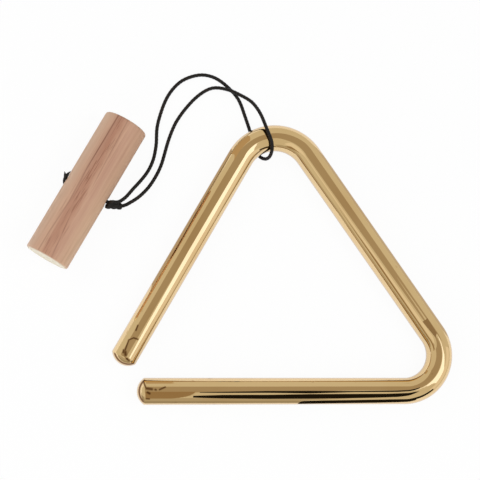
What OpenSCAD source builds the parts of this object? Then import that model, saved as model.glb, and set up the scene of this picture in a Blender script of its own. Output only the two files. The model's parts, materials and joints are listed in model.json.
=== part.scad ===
// Musical triangle with its wooden holder, in millimetres.
// A bent brass rod lies on a table. One waxed cord goes round the rod near its top bend,
// is gathered by a knot, passes through a turned wooden handle and is knotted behind it.
// +Z is up from the table, +X runs along the bottom bar towards the closed corner.

/* [Rod] */
// Diameter of the round rod
rod_d = 12; // [9:0.5:13]
// Bottom side, between the points where the straight centre lines meet
base_side = 168.7; // [150:0.1:200]
// Corner at the lower left, where the rod is open
corner_left = 60; // [56:0.1:64]
// Corner at the lower right
corner_right = 54.7; // [52:0.1:62]
// Bend radius of the centre line at the lower right
bend_right_r = 16.5; // [14:0.5:22]
// Bend radius of the centre line at the top
bend_top_r = 18.75; // [16:0.25:24]
// From the open corner's meeting point to the end of the bottom bar
bar_gap = 14.5; // [10:0.5:22]
// From the open corner's meeting point to the end of the left leg
leg_gap = 14; // [10:0.5:22]
// Height and width of the rounded edge at both rod ends
end_round = 3; // [1:0.1:4]

/* [Handle] */
// Diameter of the wooden handle
handle_d = 20.5; // [16:0.5:26]
// Length of the wooden handle
handle_len = 70.5; // [50:0.5:100]
// Rounding of the handle's end edges
handle_round = 1; // [0.5:0.1:2]
// Diameter of the cross hole for the cord
hole_d = 4.2; // [4:0.1:6]
// Direction of the handle's long axis, from +X
handle_angle = 60.4; // [50:0.1:70]

/* [Cord] */
// Diameter of the waxed cord
cord_d = 1.6; // [1.2:0.1:1.8]
// Direction of the rod where the cord goes round it, from +X
loop_angle = 21.5; // [10:0.5:30]
// Turns that the gathering knot takes round the two strands
knot_turns = 1.75; // [1:0.25:1.75]
// Diameter of the cord where the gathering knot pulls it tight
knot_cord_d = 1.4; // [1:0.1:1.8]
// Gap from one turn of the gathering knot to the next
turn_gap = 0.5; // [0.45:0.05:1]
// Angle that the gathering knot turns away from the cross hole, along the handle
knot_tilt = 22.9; // [0:0.1:25]
// Width of the stopper knot behind the handle
stopper_d = 6; // [5:0.1:8]
// How far the stopper knot stands out
stopper_h = 2.6; // [2:0.1:4]
// Length of the two cut tails on the stopper knot
tail_len = 1.6; // [1:0.1:3]
// Gap between two strands that lie side by side
strand_gap = 0.1; // [0.05:0.05:0.3]

/* [Clearances] */
// Gap between pieces that move on each other
run_gap = 0.3; // [0.2:0.05:0.5]
// Gap between the rod and the cord that passes under it
loop_gap = 0.5; // [0.3:0.05:0.8]

/* [Hidden] */

// Shape of the rod's path: corner angles, side lengths and where each bend starts
rod_r = rod_d / 2;
corner_top = 180 - corner_left - corner_right;
left_side = base_side * sin(corner_right) / sin(corner_top);
right_side = base_side * sin(corner_left) / sin(corner_top);
bend_right_cut = bend_right_r / tan(corner_right / 2);
bend_top_cut = bend_top_r / tan(corner_top / 2);
bar_len = base_side - bend_right_cut - bar_gap;
right_leg_len = right_side - bend_right_cut - bend_top_cut;
left_leg_len = left_side - bend_top_cut - leg_gap;
top_corner = [left_side * cos(corner_left), left_side * sin(corner_left)];
bend_right_at = [base_side - bend_right_cut, bend_right_r];
bend_top_reach = bend_top_r / sin(corner_top / 2);
bend_top_dir = corner_left + 180 + corner_top / 2;
bend_top_at = top_corner + bend_top_reach * [cos(bend_top_dir), sin(bend_top_dir)];

// Where the cord goes round the rod, and how far it lifts the rod off the table there
loop_at = bend_top_at + bend_top_r * [-sin(loop_angle), cos(loop_angle)];
loop_lift = cord_d + loop_gap;
rod_tilt = asin(loop_lift / loop_at[1]);

// The cord's route from the gathering knot round the rod and back.
// x and y count from the point on the rod that the cord goes round, z from the table.
route = [
    [-63.1, -30.7, 11.1], [-61.2, -27.8, 10.3], [-58.2, -23.4, 8.2], [-54.5, -19, 5.4], [-51, -14, 3],
    [-48.5, -8, 1.3], [-47.3, -1, 0.85], [-47, 6, 0.85], [-45, 14, 0.85], [-41.5, 22, 0.85],
    [-35.5, 28.5, 0.85], [-27, 31.5, 0.85], [-19.5, 30, 0.85], [-13, 25, 0.85], [-9, 20, 0.85],
    [-6.5, 13.5, 0.85], [-4, 6, 0.85],
    [-2, -1, 0.85], [0, -5.7, 1.5], [2.4, -7.8, 4.6], [3.9, -7.4, 8.4], [4.4, -5.1, 12.1],
    [3.8, -1.8, 15.1], [2.4, 1.8, 15.8], [1, 6, 14.7],
    [-0.8, 12, 11.6], [-4, 17.8, 8], [-9, 21.7, 5], [-14.5, 24.5, 2.9], [-21, 25.5, 1.2],
    [-27, 22.5, 0.85], [-33, 16.5, 0.85], [-38.5, 8.5, 0.85], [-42, -0.5, 0.85], [-44.5, -9.5, 0.85],
    [-47, -15.5, 1.8], [-51, -22, 4.5], [-55.8, -27.1, 7.4], [-59.9, -30, 9], [-63.1, -30.7, 9.4]
];
loop_first = 16;
loop_last = 25;

// The gathering knot: one strand wound round the two that leave the handle
wind_pitch = knot_cord_d + turn_gap;
wind_side = cord_d / 2 + strand_gap + knot_cord_d / 2;
wind_start = run_gap + knot_cord_d / 2 + (wind_side + knot_cord_d / 2) * sin(knot_tilt);
knot_open = cord_d / 2 + run_gap;
knot_span = wind_start + knot_turns * wind_pitch + knot_cord_d / 2 + strand_gap + knot_open;

// The handle lies beside that knot. The hinge point is the knot's open end.
handle_r = handle_d / 2;
hole_dir = [sin(handle_angle), -cos(handle_angle), 0];
handle_dir = [cos(handle_angle), sin(handle_angle), 0];
knot_dir = cos(knot_tilt) * hole_dir + sin(knot_tilt) * handle_dir;
hinge_at = [loop_at[0] + route[0][0], loop_at[1] + route[0][1], handle_r];
mouth_at = hinge_at - knot_span * knot_dir;
handle_at = mouth_at - handle_r * hole_dir;
stopper_at = handle_at - (handle_r + run_gap) * hole_dir;

// The origin is the middle of the rod and handle's footprint on the table
handle_cut = handle_round * (cos(handle_angle) + sin(handle_angle) - 1);
handle_x = handle_len / 2 * cos(handle_angle) + handle_r * sin(handle_angle) - handle_cut;
handle_y = handle_len / 2 * sin(handle_angle) + handle_r * cos(handle_angle) - handle_cut;
low_x = handle_at[0] - handle_x;
high_x = bend_right_at[0] + bend_right_r + rod_r;
low_y = -rod_r;
high_y = max(handle_at[1] + handle_y, bend_top_at[1] + bend_top_r + rod_r);
origin_at = [(low_x + high_x) / 2, (low_y + high_y) / 2, 0];

// How much the rod swells round a bend, and how far each straight length reaches into the bend
bend_swell = 0.02;
bend_overlap = rod_d / 40;

// Drawing quality
round_fn = 96;
arc_steps = 6;
strand_sides = 8;
winding_sides = 6;
rings_per_turn = 24;
tube_convexity = 6;
cut_over = 1;

function unit(v) = v / norm(v);
function above_table(v, r) = [v[0], v[1], max(v[2], r)];

// A route with one more point in the middle of every span, on the cubic through its four neighbours
function middle(p, i) =
    let (a = p[max(i - 1, 0)], b = p[i], c = p[i + 1], d = p[min(i + 2, len(p) - 1)])
    (9 * (b + c) - a - d) / 16;
function refined(p) = [
    for (i = [0:2 * len(p) - 2]) i % 2 == 0 ? p[i / 2] : middle(p, (i - 1) / 2)
];
function heading(p, i) = unit(p[min(i + 1, len(p) - 1)] - p[max(i - 1, 0)]);
function flattened(v, dir) = unit(v - (v * dir) * dir);

// Side directions carried along a route without twist
function sides_along(p) =
    let (n = len(p))
    [for (
        i = 0, s = flattened([0, 0, 1], heading(p, 0));
        i < n;
        i = i + 1, s = i < n ? flattened(s, heading(p, i)) : s
    ) s];

// One ring of a tube, and the faces of a closed tube of such rings
function ring(at, dir, side, r, sides) = [
    for (k = [0:sides - 1])
        at + r * (cos(360 * k / sides) * side + sin(360 * k / sides) * cross(dir, side))
];
function tube_faces(rings, sides) = concat(
    [
        for (i = [0:rings - 2], k = [0:sides - 1])
            let (a = i * sides + k, b = i * sides + (k + 1) % sides)
            each [[a, b, a + sides], [b, b + sides, a + sides]]
    ],
    [for (k = [1:sides - 2]) [0, k + 1, k]],
    [for (k = [1:sides - 2], a = (rings - 1) * sides) [a, a + k, a + k + 1]]
);

// A closed tube through every ring from first to last of a route
module tube(p, r, sides, first, last) {
    side = sides_along(p);
    points = [for (i = [first:last], q = ring(p[i], heading(p, i), side[i], r[i], sides)) q];
    polyhedron(points, tube_faces(last - first + 1, sides), convexity = tube_convexity);
}

// The free cord: the refined route, kept above the table, with a rounded tip at both ends
tip_back_shares = [0.9, 0.55];
tip_width_shares = [0.4, 0.8];
tip_rings = len(tip_back_shares);
free_route = [for (v = refined(route)) above_table(v, cord_d / 2)];
free_last = len(free_route) - 1;
tip_start = [for (share = tip_back_shares) free_route[0] - share * cord_d / 2 * heading(free_route, 0)];
tip_end = [
    for (k = [tip_rings - 1:-1:0])
        free_route[free_last] + tip_back_shares[k] * cord_d / 2 * heading(free_route, free_last)
];
cord_route = concat(tip_start, free_route, tip_end);
cord_last = len(cord_route) - 1;
cord_rings = [
    for (i = [0:cord_last])
        let (from_end = min(i, cord_last - i))
        cord_d / 2 * (from_end < tip_rings ? tip_width_shares[from_end] : 1)
];

module free_cord(first, last) {
    translate([loop_at[0], loop_at[1], 0])
        tube(cord_route, cord_rings, strand_sides, first, last);
}

// A straight length of rod along +X whose far end has a rounded edge
function end_profile(r, length, edge) = concat(
    [[0, 0], [r, 0]],
    [
        for (k = [0:arc_steps])
            let (turn = 90 * k / arc_steps)
            [r - edge + edge * cos(turn), length - edge + edge * sin(turn)]
    ],
    [[0, length]]
);

module free_end(length) {
    rotate([0, 90, 0])
        rotate_extrude($fn = round_fn)
            polygon(end_profile(rod_r, length, end_round));
}

module straight(length) {
    rotate([0, 90, 0])
        cylinder(r = rod_r, h = length, $fn = round_fn);
}

// A bend that starts at the origin along +X and turns left by the given angle
module bend(radius, turn) {
    translate([0, radius, 0])
        rotate([0, 0, -90])
            rotate_extrude(angle = turn, $fn = round_fn)
                translate([radius, 0])
                    circle(r = rod_r + bend_swell, $fn = round_fn);
}

// What follows a bend of the given radius and angle, with its own +X straight ahead
module after_bend(radius, turn) {
    translate([0, radius, 0])
        rotate([0, 0, turn])
            translate([0, -radius, 0])
                children();
}

// The bent rod, flat, with the open corner's meeting point at the origin.
// Each straight length ends inside the slightly thicker bend.
module flat_rod() {
    translate([bar_gap + bar_len, 0, 0]) {
        translate([bend_overlap, 0, 0])
            rotate([0, 0, 180])
                free_end(bar_len + bend_overlap);
        bend(bend_right_r, 180 - corner_right);
        after_bend(bend_right_r, 180 - corner_right) {
            translate([-bend_overlap, 0, 0])
                straight(right_leg_len + 2 * bend_overlap);
            translate([right_leg_len, 0, 0]) {
                bend(bend_top_r, 180 - corner_top);
                after_bend(bend_top_r, 180 - corner_top)
                    translate([-bend_overlap, 0, 0])
                        free_end(left_leg_len + bend_overlap);
            }
        }
    }
}

// The rod rests on its bottom bar and, at the top, on the cord that passes under it
module triangle_rod() {
    color([0.83, 0.66, 0.34])
        translate([0, 0, rod_r])
            rotate([rod_tilt, 0, 0])
                flat_rod();
}

// Local frame of the handle: +Z along its long axis, +X along its cross hole towards the knot
module at_handle() {
    translate(handle_at)
        rotate([0, 0, handle_angle - 90])
            rotate([-90, 0, 0])
                children();
}

function handle_profile() = concat(
    [[0, -handle_len / 2]],
    [for (k = [0:arc_steps]) [
        handle_r - handle_round + handle_round * sin(90 * k / arc_steps),
        -handle_len / 2 + handle_round - handle_round * cos(90 * k / arc_steps)
    ]],
    [for (k = [0:arc_steps]) [
        handle_r - handle_round + handle_round * cos(90 * k / arc_steps),
        handle_len / 2 - handle_round + handle_round * sin(90 * k / arc_steps)
    ]],
    [[0, handle_len / 2]]
);

module handle() {
    color([0.76, 0.6, 0.48])
        at_handle()
            difference() {
                rotate_extrude($fn = round_fn)
                    polygon(handle_profile());
                translate([-handle_r - cut_over, 0, 0])
                    rotate([0, 90, 0])
                        cylinder(d = hole_d, h = handle_d + 2 * cut_over, $fn = round_fn);
            }
}

// The two strands in the cross hole, one above the other, on to the gathering knot's open end
strand_rise = (cord_d + strand_gap) / 2;
mouth_steps = 3;

module hole_strand(rise) {
    up = [0, 0, rise];
    open_at = hinge_at - knot_open * knot_dir;
    in_knot = [for (k = [0:mouth_steps]) mouth_at + k / mouth_steps * (open_at - mouth_at)];
    path = [for (v = concat([stopper_at, handle_at], in_knot)) v + up];
    tube(path, [for (v = path) cord_d / 2], strand_sides, 0, len(path) - 1);
}

module hole_run() {
    color([0.11, 0.1, 0.1]) {
        hole_strand(strand_rise);
        hole_strand(-strand_rise);
    }
}

// The gathering knot's winding, whose ends run straight for one diameter
wind_rise = strand_rise + wind_side;
wind_steps = knot_turns * rings_per_turn;
wind_across = cross([0, 0, 1], knot_dir);
wind_turns = [
    for (i = [0:wind_steps])
        let (turn = 360 * i / rings_per_turn)
        mouth_at + (wind_start + wind_pitch * i / rings_per_turn) * knot_dir
            + wind_side * cos(turn) * wind_across + [0, 0, wind_rise * sin(turn)]
];
wind_route = concat(
    [wind_turns[0] - knot_cord_d * heading(wind_turns, 0)],
    wind_turns,
    [wind_turns[wind_steps] + knot_cord_d * heading(wind_turns, wind_steps)]
);
wind_self_gap = min([
    for (i = [0:len(wind_route) - 1], j = [i + rings_per_turn / 2:1:len(wind_route) - 1])
        norm(wind_route[j] - wind_route[i])
]) - knot_cord_d;
echo(wind_self_gap = wind_self_gap);

module gather_knot() {
    color([0.11, 0.1, 0.1])
        tube(wind_route, [for (v = wind_route) knot_cord_d / 2], winding_sides, 0, len(wind_route) - 1);
}

// The stopper knot behind the handle: a flat round knot with two short cut tails
tail_spread = 35;
stopper_edge = stopper_h / 2;

module stopper_knot() {
    color([0.11, 0.1, 0.1])
        at_handle()
            translate([-handle_r - run_gap, 0, 0])
                rotate([0, -90, 0]) {
                    rotate_extrude($fn = round_fn)
                        polygon(concat(
                            [[0, 0]],
                            [for (k = [-arc_steps:arc_steps]) [
                                stopper_d / 2 - stopper_edge + stopper_edge * cos(90 * k / arc_steps),
                                stopper_edge + stopper_edge * sin(90 * k / arc_steps)
                            ]],
                            [[0, stopper_h]]
                        ));
                    for (side = [-1, 1])
                        translate([0, 0, stopper_edge])
                            rotate([0, 0, side * tail_spread])
                                rotate([0, side * 90, 0])
                                    cylinder(d = cord_d, h = stopper_d / 2 + tail_len, $fn = round_fn);
                }
}

// The rings where the cord's three stretches meet
loop_first_ring = tip_rings + 2 * loop_first;
loop_last_ring = tip_rings + 2 * loop_last;

module strand_outer() {
    color([0.11, 0.1, 0.1]) free_cord(0, loop_first_ring);
}

module rod_loop() {
    color([0.11, 0.1, 0.1]) free_cord(loop_first_ring, loop_last_ring);
}

module strand_inner() {
    color([0.11, 0.1, 0.1]) free_cord(loop_last_ring, cord_last);
}

// Places in the part's own frame, for whoever sets joints and mounts on it
echo(loop = [loop_at[0] - origin_at[0], loop_at[1] - origin_at[1], rod_r + loop_lift], rod_tilt = rod_tilt);
echo(hinge = hinge_at - origin_at, handle = handle_at - origin_at, hole_dir = hole_dir);
echo(corner = -origin_at, top = bend_top_at, right = bend_right_at, bar_len = bar_len);

translate(-origin_at) {
    triangle_rod();
    handle();
    hole_run();
    gather_knot();
    stopper_knot();
    strand_outer();
    rod_loop();
    strand_inner();
}
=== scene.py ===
"""Looks of a bent brass triangle with its waxed cord and wooden handle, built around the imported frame.

Lengths are in millimetres unless a name says otherwise, and MM turns them into metres.
"""

import json
import math

import bmesh
import bpy
import numpy as np
from mathutils import Matrix, Vector

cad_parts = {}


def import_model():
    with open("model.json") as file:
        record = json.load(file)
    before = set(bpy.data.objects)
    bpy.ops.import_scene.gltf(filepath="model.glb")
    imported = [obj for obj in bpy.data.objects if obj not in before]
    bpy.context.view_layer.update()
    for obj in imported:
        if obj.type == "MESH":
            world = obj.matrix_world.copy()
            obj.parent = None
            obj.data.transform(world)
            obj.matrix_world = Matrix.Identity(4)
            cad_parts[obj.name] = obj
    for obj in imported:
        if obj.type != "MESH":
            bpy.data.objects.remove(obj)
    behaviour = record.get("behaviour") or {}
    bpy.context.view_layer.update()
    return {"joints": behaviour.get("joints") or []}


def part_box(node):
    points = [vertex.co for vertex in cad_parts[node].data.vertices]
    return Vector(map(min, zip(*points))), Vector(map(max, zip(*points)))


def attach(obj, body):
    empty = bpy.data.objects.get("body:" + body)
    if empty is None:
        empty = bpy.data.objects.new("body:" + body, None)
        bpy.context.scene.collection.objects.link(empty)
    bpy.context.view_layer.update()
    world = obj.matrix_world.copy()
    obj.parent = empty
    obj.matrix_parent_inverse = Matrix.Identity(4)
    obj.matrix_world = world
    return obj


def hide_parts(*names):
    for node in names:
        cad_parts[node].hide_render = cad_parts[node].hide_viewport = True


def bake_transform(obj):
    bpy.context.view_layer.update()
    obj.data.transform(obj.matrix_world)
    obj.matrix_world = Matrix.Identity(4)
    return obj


MM = 0.001

# Rod
ROD_D = 12
ROD_R = ROD_D / 2
BASE_SIDE = 168.7
CORNER_LEFT = math.radians(60)
CORNER_RIGHT = math.radians(54.7)
CORNER_TOP = math.pi - CORNER_LEFT - CORNER_RIGHT
BEND_RIGHT_R = 16.5
BEND_TOP_R = 18.75
BEND_SWELL = 0.02
BAR_GAP = 14.5
LEG_GAP = 14
END_DOME = 3.2
END_EDGE = 0.4
EDGE_STRETCH = 1.2  # how much longer than wide the rounding at the dome's edge is
DOME_RINGS = 16
ROD_SIDES = 128
LOOP_LIFT = 2.1
LOOP_ANGLE = math.radians(21.5)

# Handle
HANDLE_D = 20.5
HANDLE_R = HANDLE_D / 2
HANDLE_LEN = 70.5
HANDLE_ROUND = 1
HOLE_D = 4.2
MOUTH_ROUND = 0.35
HANDLE_ANGLE = math.radians(60.4)

# Cord
CORD_D = 1.6
CREST_D = 1.7  # across the crests of its twist
STRAND_GAP = 0.1
TABLE_GAP = 0.02
CORD_LAY = 4.8  # the length in which its plies go round once
PLIES = 3
PLY_GROOVE_SHARE = 0.12
PLY_ROUNDNESS = 0.8
TIP_DRAWN_SHARE = 0.35
PATH_STEP = 0.5

# Gathering knot: a flat winding round the strands, whose middle lies to one side of the handle's hole
KNOT_TILT = math.radians(22.9)
KNOT_ASIDE = -0.95
WRAP_TURNS = 2.6
WRAP_BEFORE = 0.3  # the turns that lie before WRAP_START
WRAP_START = 1.48
WRAP_PITCH = 2.2
WRAP_SPREAD = 0.2
WRAP_TUCK = 0.35  # the turns in which its end draws in
WRAP_TUCK_SHARE = 0.45
WRAP_STEPS = 36  # points in a turn
WRAP_THICK = 1.3
WRAP_WIDE = 2.05  # times as wide as thick
WRAP_LAY = 3.6
WRAP_REACH = 1.15
WRAP_RISE = 2.2
CORE_PROUD = 0.5
CORE_START = 0.9
CORE_END = 6.9
CORE_LAY = 9
CORE_TIP = 0.8

# The strands in the cross hole: where they turn to the knot's middle, and where they end inside it
HOLE_STRAND_TURN = 1.2
HOLE_STRAND_END = 2.6

# Stopper knot: an overhand knot, a turn inside it, and three cut ends
STOPPER_D = 4.4
STOPPER_ASIDE = 0.7
STOPPER_H = 1.9
STOPPER_GAP = 0.03
STOPPER_CORD_D = 1.5
STOPPER_LAY = 4
STOPPER_STEPS = 120
INNER_TURN_R = 1.95
INNER_TURN_D = 1.2
INNER_TURN_LAY = 3.6
INNER_TURN_SHARE = 0.93
INNER_TURN_STEPS = 60
TAPER_FROM_SHARE = 0.35
TAPER_BY_SHARE = 0.9
TAPER_POWER = 1.3
TAPER_STEP = 0.1
PRESSED_FROM = -0.8
PRESSED_SLOPE = 0.17  # the share of its height that goes with each millimetre down

# The cut ends, as distance out from the wood, down along the handle and above the hole
TAILS = {
    "upper_tail": [(0.9, 0.9, 0.3), (1.15, -0.2, 0.4), (1.7, -1.3, 0.4), (2.45, -2.15, 0.4)],
    "lower_tail": [(0.7, 0.2, 0), (0.75, -1, 0.2), (0.5, -2.3, 0.3), (0.15, -3.7, 0.3)],
    "first_end": [(0.8, 0, 0.8), (0.7, 1.4, 0.6), (0.4, 2.4, 0.4), (0.15, 3.3, 0.2)],
}

# The strands inside the gathering knot, as distance from the handle's hole, to the side and above the hole.
# One lies along the top of the winding before it leaves, the other comes out of its middle.
UPPER_STRAND = [(1.1, -0.35, 2.2), (2.3, -0.2, 3.2), (4.2, -0.1, 3.1), (5.6, 0.55, 2.5), (6.9, 1.75, 1.5)]
LOWER_STRAND = [(8.84, 0.02, -1.05), (7, -0.86, -0.9), (5.2, -1.2, -0.85), (3, -0.9, -0.8)]

# The cord's route round the rod and back, with the solids' own points from just outside the gathering knot.
# x and y count from the point on the rod that the cord goes round, z from the table.
ROUTE = [
    (-61.3, -27.2, 10.3), (-58.2, -23.4, 8.2), (-54.5, -19, 5.4), (-51, -14, 3),
    (-48.5, -8, 1.3), (-47.3, -1, 0.85), (-47, 6, 0.85), (-45, 14, 0.85), (-41.5, 22, 0.85),
    (-35.5, 28.5, 0.85), (-27, 31.5, 0.85), (-19.5, 30, 0.85), (-13, 25, 0.85), (-9, 20, 0.85),
    (-6.5, 13.5, 0.85), (-4, 6, 0.85),
    (-2, -1, 0.85), (0, -5.7, 1.5), (2.4, -7.8, 4.6), (3.9, -7.4, 8.4), (4.4, -5.1, 12.1),
    (3.8, -1.8, 15.1), (2.4, 1.8, 15.8), (1, 6, 14.7),
    (-0.8, 12, 11.6), (-4, 17.8, 8), (-9, 21.7, 5), (-14.5, 24.5, 2.9), (-21, 25.5, 1.2),
    (-27, 22.5, 0.85), (-33, 16.5, 0.85), (-38.5, 8.5, 0.85), (-42, -0.5, 0.85), (-44.5, -9.5, 0.85),
    (-47, -15.5, 1.8), (-51, -22, 4.5), (-55.8, -27.1, 7.4), (-59.9, -30, 9),
]

# Camera, in millimetres
CAMERA_AT = (-95.347, -65.926, 630.536)
CAMERA_BACK = (-0.147779, -0.11784, 0.981975)
CAMERA_ROLL = math.radians(0.8375)
CAMERA_LENS = 105
SENSOR_WIDTH = 36

# Nicks and stains near the bar's end and the leg's end. Each is a stroke: its two ends, as place towards the
# rod's inner side and distance from the rod's end, and how far it reaches to its sides.
BAR_MARKS = [
    (1.3, 3.9, 1, 6.2, 0.9), (0.8, 7.7, 0.7, 8, 0.7), (0.8, 9.6, 1.9, 12.1, 0.6),
    (-0.4, 4.3, -0.9, 5.2, 0.8), (-3.2, 3.9, -3.3, 5.2, 0.5), (3.6, 2.8, 1.8, 3.5, 0.6),
]
LEG_MARKS = [
    (-2.3, 10.8, -1.4, 6, 0.55), (-0.9, 12.6, 1, 13, 0.6), (-2.3, 10.8, -0.9, 12.6, 0.5),
    (-1, 5.4, -0.2, 4.4, 1.1), (1.1, 3.2, 2.4, 3.1, 0.7), (-2, 5.8, -1.6, 4.8, 0.7),
    (-2.1, 18.3, -1.7, 16, 0.55),
]
MARK_DARKNESS = 0.9
MARK_CORE_SHARE = 0.2
# A painted reflection: a dark arc on each domed end, with its place out from the rod's middle, its reach and
# its darkness
DOME_REFLECTION_AT = 3.3
DOME_REFLECTION_REACH = 0.9
DOME_REFLECTION_DARKNESS = 0.95
DOME_REFLECTION_FADE = (0.2, 0.5)  # where it starts and is full, from the dome's edge inwards

# Growth lines of the wood, across the handle's upper side and along it, both from its middle. The first
# swells to the right, and the third turns back.
SHAKE = 0.14
FIRST_LINE_LEFT = 4.5
FIRST_LINE_WIDE = 0.46
SWELL_AT = -9
SWELL_REACH = 17
SWELL_BY = 0.8
SECOND_LINE_SPAN = (34, 0)
SECOND_LINE_RIGHT = (0.2, 1.9)
SECOND_LINE_WIDE = 0.34
THIRD_LINE_TURN = 11
THIRD_LINE_SLOPE = 0.11
THIRD_LINE_LEFT = 0.6
THIRD_LINE_WIDE = 0.4
BAND_EDGE = (1.2, 3.3)
# Across the handle from its middle: where painted light makes its left and right sides paler
LEFT_PAINTED_LIGHT = (-5, -9.5)
RIGHT_PAINTED_LIGHT = (4, 9)
SAWN_DEPTH = (0.35, 0.1)
SAWN_RIM_WIDE = 1.6

# Colours
BRASS = (0.88, 0.63, 0.30, 1)
TARNISHED_BRASS = (0.80, 0.54, 0.235, 1)
BRASS_SPOT = (0.42, 0.22, 0.08, 1)
# Dark brown of the nicks, and of the painted dark reflection on the domes
BRASS_NICK_AND_REFLECTION = (0.18, 0.065, 0.01, 1)
WOOD = (0.58, 0.35, 0.23, 1)
WOOD_DEEP = (0.48, 0.255, 0.165, 1)
# Painted light: the paler wood of the handle's left and right sides, where the lamps fall
WOOD_PAINTED_LIGHT_LEFT = (0.66, 0.45, 0.31, 1)
WOOD_PAINTED_LIGHT_RIGHT = (0.70, 0.47, 0.31, 1)
WOOD_BAND = (0.40, 0.185, 0.11, 1)
WOOD_LINE = (0.19, 0.065, 0.03, 1)
WOOD_PORE = (0.38, 0.19, 0.115, 1)
# Sawn ends: pale partly as end grain and partly with painted light from the lamp in front
SAWN_GRAIN_AND_PAINTED_LIGHT = (0.86, 0.80, 0.64, 1)
SAWN_RING_AND_PAINTED_LIGHT = (0.76, 0.66, 0.49, 1)
SAWN_RIM = (0.58, 0.42, 0.28, 1)
THREAD = (0.004, 0.0035, 0.003, 1)
THREAD_WORN = (0.017, 0.014, 0.011, 1)
THREAD_BROWN = (0.028, 0.013, 0.005, 1)
# Pale flecks: partly fibre, partly painted glints of the wax's sheen
THREAD_FLECK_AND_GLINT = (0.085, 0.08, 0.068, 1)
CARD_BLACK = (0.012, 0.01, 0.008)
FLOOR = (0.9, 0.9, 0.9, 1)
FLOOR_SEEN = (1, 1, 1, 1)
FLOOR_MIRRORED = (0.95, 1.02, 1.3, 1)
# Painted shade: the dark that rays mirrored twice see, for the shadowed floor under the rod
FLOOR_PAINTED_SHADE_TWICE = (0.12, 0.09, 0.06, 1)

# Levels of the floor and the world: as the camera sees them, as the rod mirrors them, and as they light
SEEN_LEVEL = 0.94
FLOOR_MIRRORED_LEVEL = 0.6
WORLD_MIRRORED_LEVEL = 0.66
WORLD_LIGHT_LEVEL = 0.55

# Stage
FLOOR_REACH = 2500
FLOOR_AT = -0.05
LAMP_SIDE = 500
FLAG_AT = 16
FLOOR_CARD_AT = 0.2
CARD_FRONT = -300

GRAIN = "grain"  # the attribute that holds each piece's own pattern coordinates, in metres


def turned(angle):
    """The direction at an angle from +X, in the plane of the table."""
    return np.array((math.cos(angle), math.sin(angle), 0.0))


def unit(v):
    return v / np.linalg.norm(v)


def refined(points, rounds):
    """A route whose every span gains, in each round, a middle point on the cubic through its neighbours."""
    p = np.asarray(points, float)
    for _ in range(rounds):
        before = np.vstack((p[:1], p[:-2]))
        after = np.vstack((p[2:], p[-1:]))
        finer = np.empty((2 * len(p) - 1, 3))
        finer[0::2] = p
        finer[1::2] = (9 * (p[:-1] + p[1:]) - before - after) / 16
        p = finer
    return p


def spaced(points, step):
    """A route's points again, at equal steps along it."""
    p = np.asarray(points, float)
    along = np.concatenate(([0], np.cumsum(np.linalg.norm(np.diff(p, axis=0), axis=1))))
    count = max(2, round(along[-1] / step) + 1)
    wanted = np.linspace(0, along[-1], count)
    return np.stack([np.interp(wanted, along, p[:, k]) for k in range(3)], 1)


def headings(p):
    ends = np.vstack((p[1] - p[0], p[2:] - p[:-2], p[-1] - p[-2]))
    return ends / np.linalg.norm(ends, axis=1)[:, None]


def side_directions(p, first, held):
    """Side directions along a route: carried on from the first without twist, or held near the first."""
    along = headings(p)
    first = np.array(first, float)
    side = first
    out = []
    for t in along:
        if held:
            side = first
        side = unit(side - (side @ t) * t)
        out.append(side)
    return np.array(out)


def new_mesh(name, verts, faces, grain):
    """An object whose mesh, given in millimetres, is closed, smooth and turned outwards."""
    mesh = bpy.data.meshes.new(name)
    mesh.from_pydata((np.asarray(verts) * MM).tolist(), [], faces)
    held = mesh.attributes.new(GRAIN, "FLOAT_VECTOR", "POINT")
    held.data.foreach_set("vector", (np.asarray(grain, float) * MM).ravel())
    edit = bmesh.new()
    edit.from_mesh(mesh)
    bmesh.ops.recalc_face_normals(edit, faces=edit.faces)
    edit.to_mesh(mesh)
    edit.free()
    mesh.polygons.foreach_set("use_smooth", [True] * len(mesh.polygons))
    made = bpy.data.objects.new(name, mesh)
    bpy.context.scene.collection.objects.link(made)
    return made


def ring_faces(first, second):
    """Quads between two rings of vertex numbers."""
    n = len(first)
    return [(first[k], first[(k + 1) % n], second[(k + 1) % n], second[k]) for k in range(n)]


def lofted(rings, closed_by):
    """Vertices and faces of rings joined in order, with a point at each end that closes them."""
    n = len(rings[0])
    verts = np.vstack((*rings, closed_by[0], closed_by[1]))
    numbers = [list(range(i * n, (i + 1) * n)) for i in range(len(rings))]
    faces = [f for a, b in zip(numbers, numbers[1:]) for f in ring_faces(a, b)]
    low, high = len(rings) * n, len(rings) * n + 1
    faces += [(low, numbers[0][(k + 1) % n], numbers[0][k]) for k in range(n)]
    faces += [(high, numbers[-1][k], numbers[-1][(k + 1) % n]) for k in range(n)]
    return verts, faces


# Shader helpers


def node(tree, kind, inputs=None, **settings):
    """A new node of a tree. inputs gives its sockets by name or number: a value, or an output to link."""
    made = tree.nodes.new(kind)
    for name, value in settings.items():
        setattr(made, name, value)
    for key, value in (inputs or {}).items():
        if isinstance(value, bpy.types.NodeSocket):
            tree.links.new(value, made.inputs[key])
        else:
            made.inputs[key].default_value = value
    return made


def maths(tree, operation, a, b=0.0, clamp=False):
    return node(tree, "ShaderNodeMath", {0: a, 1: b}, operation=operation, use_clamp=clamp).outputs[0]


def remap(tree, value, low, high, to_low=0.0, to_high=1.0):
    made = node(
        tree, "ShaderNodeMapRange",
        {"Value": value, "From Min": low, "From Max": high, "To Min": to_low, "To Max": to_high},
    )
    return made.outputs["Result"]


def mixed(tree, factor, a, b, how="MIX"):
    made = node(tree, "ShaderNodeMix", data_type="RGBA", blend_type=how)
    for key, value in ((0, factor), (6, a), (7, b)):
        if isinstance(value, bpy.types.NodeSocket):
            tree.links.new(value, made.inputs[key])
        else:
            made.inputs[key].default_value = value
    return made.outputs[2]


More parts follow.
